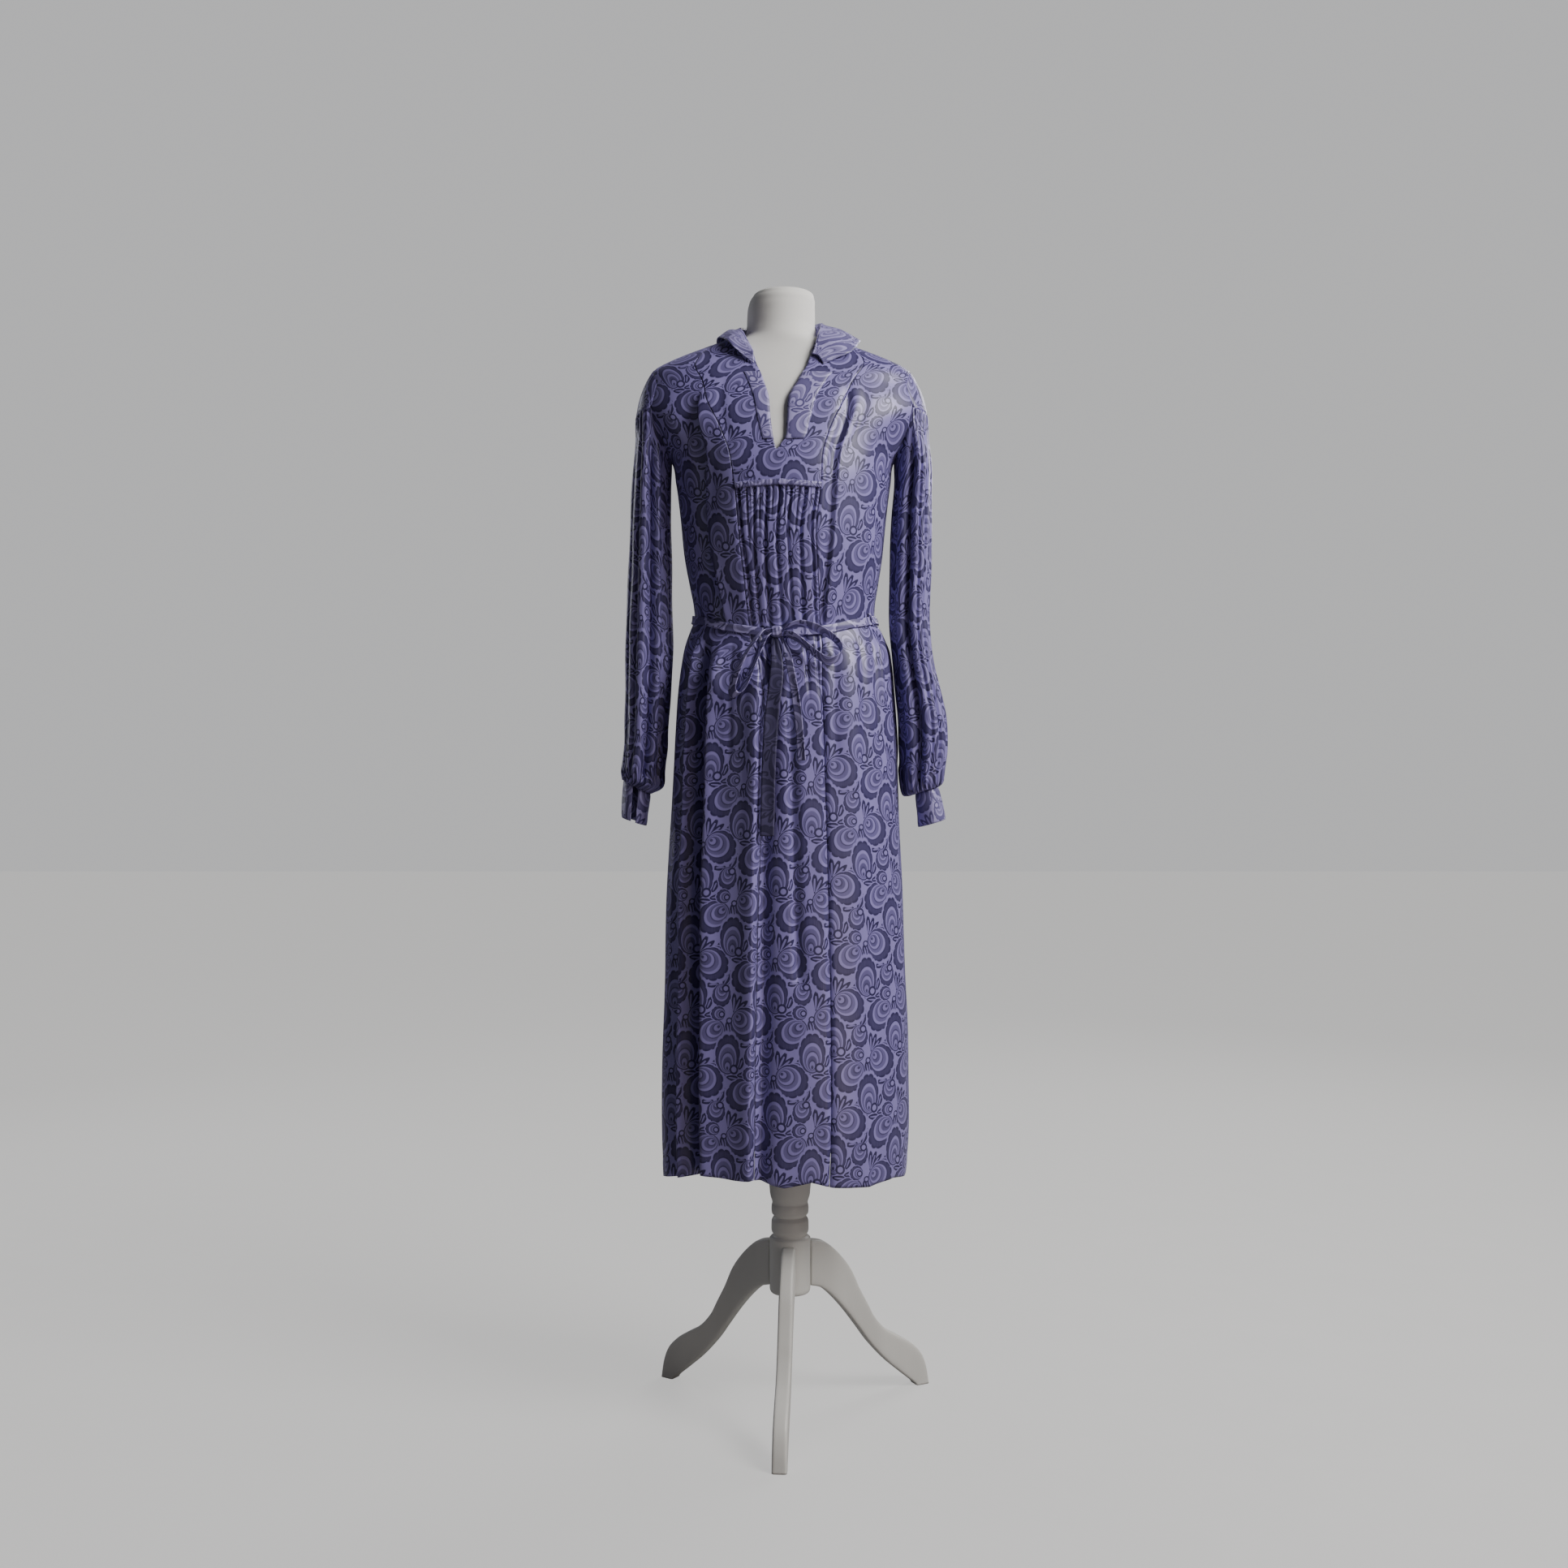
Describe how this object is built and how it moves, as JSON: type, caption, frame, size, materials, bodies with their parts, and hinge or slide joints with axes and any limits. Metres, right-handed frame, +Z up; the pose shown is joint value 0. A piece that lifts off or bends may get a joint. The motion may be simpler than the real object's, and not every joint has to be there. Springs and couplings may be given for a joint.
{
  "type": "smock dress on a dress form",
  "caption": "Long-sleeved patterned satin smock dress with a gathered front and a tie belt, on a limbless dress form with a white turned tripod stand.",
  "frame": {"origin": "on the floor, under the middle of the bounding box of the dress and its form", "axes": "+Z up along the form; -Y out of the dress's front; +X to the right as seen from the front"},
  "size_m": [0.4617, 0.3564, 1.579],
  "materials": {
    "satin": "satin",
    "satin_trim": "satin",
    "jersey": "matte",
    "painted_wood": "satin",
    "steel": "satin"
  },
  "bodies": {
    "root": {"side_front_left": "satin", "side_front_right": "satin", "back": "satin", "front_centre": "satin", "front_bib": "satin", "shoulder_cap_left": "satin", "shoulder_cap_right": "satin", "sleeve_left": "satin", "sleeve_right": "satin", "bib_band": "satin_trim", "neck_band_left": "satin_trim", "neck_band_right": "satin_trim", "cuff_left": "satin_trim", "cuff_right": "satin_trim", "collar": "satin_trim", "belt_waist": "satin_trim", "belt_knot": "satin_trim", "belt_loop_left": "satin_trim", "belt_loop_right": "satin_trim", "belt_tail_light": "satin_trim", "belt_tail_dark": "satin_trim", "form_body": "jersey", "stand_pole": "steel", "stand_column": "painted_wood", "stand_leg_front": "painted_wood", "stand_leg_left": "painted_wood", "stand_leg_right": "painted_wood"}
  },
  "joints": []
}
